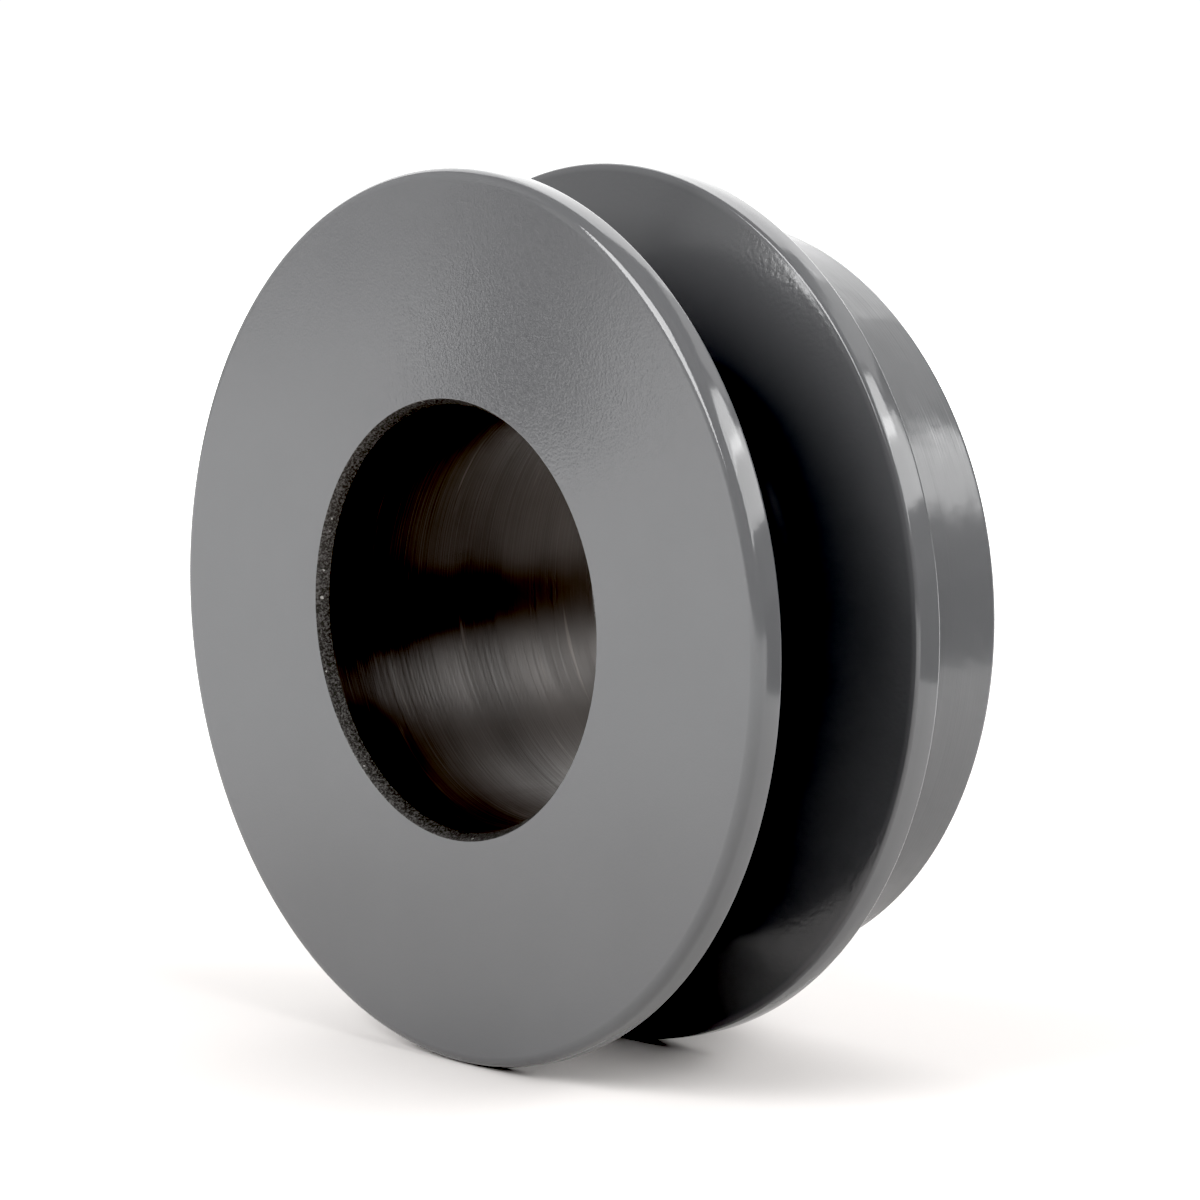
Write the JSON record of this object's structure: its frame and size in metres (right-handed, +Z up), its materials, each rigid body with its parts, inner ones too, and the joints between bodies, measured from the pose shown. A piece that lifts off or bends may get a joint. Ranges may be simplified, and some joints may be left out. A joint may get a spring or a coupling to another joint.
{
  "type": "v belt pulley",
  "caption": "Single-groove V-belt pulley with a hub on one side and a plain through bore, held on its shaft by radial grub screws that press on soft brass pads.",
  "frame": {"origin": "on the bore's axis, in the middle plane of the belt groove", "axes": "+Y along the bore's axis from the plain face towards the hub, +Z up as the pulley stands on its rim, grub screws on the -X side of the hub"},
  "size_m": [0.084, 0.0357, 0.084],
  "materials": {
    "grey_enamel": "glossy neutral grey enamel over a turned casting; the bore and its lead-ins are bare machined metal",
    "blackened_steel": "black oxide on hardened steel, lightly oiled",
    "pad_brass": "dull sawn brass"
  },
  "bodies": {
    "pulley": {"pulley_body": "grey_enamel"},
    "upper_pad": {"upper_pad": "pad_brass"},
    "upper_screw": {"upper_grub_screw": "blackened_steel"},
    "lower_pad": {"lower_pad": "pad_brass"},
    "lower_screw": {"lower_grub_screw": "blackened_steel"}
  },
  "joints": [
    {"name": "upper_pad_slide", "type": "slide", "parent": "pulley", "child": "upper_pad", "axis": [-0.6293, 0, 0.7771], "range_m": [-0.0005, 0.00875]},
    {"name": "upper_screw_turn", "type": "hinge", "parent": "upper_pad", "child": "upper_screw", "pos_m": [-0.01731, 0.01785, 0.02137], "axis": [-0.6293, 0, 0.7771], "range_deg": [-144.1, 2520.1]},
    {"name": "lower_pad_slide", "type": "slide", "parent": "pulley", "child": "lower_pad", "axis": [-0.3584, 0, -0.9336], "range_m": [-0.0005, 0.00875]},
    {"name": "lower_screw_turn", "type": "hinge", "parent": "lower_pad", "child": "lower_screw", "pos_m": [-0.00986, 0.01785, -0.02567], "axis": [-0.3584, 0, -0.9336], "range_deg": [-144.1, 2520.1]}
  ],
  "couplings": [
    {"joint": "upper_screw_turn", "follows": "upper_pad_slide", "rad_per_m": 5026.5},
    {"joint": "lower_screw_turn", "follows": "lower_pad_slide", "rad_per_m": 5026.5}
  ]
}
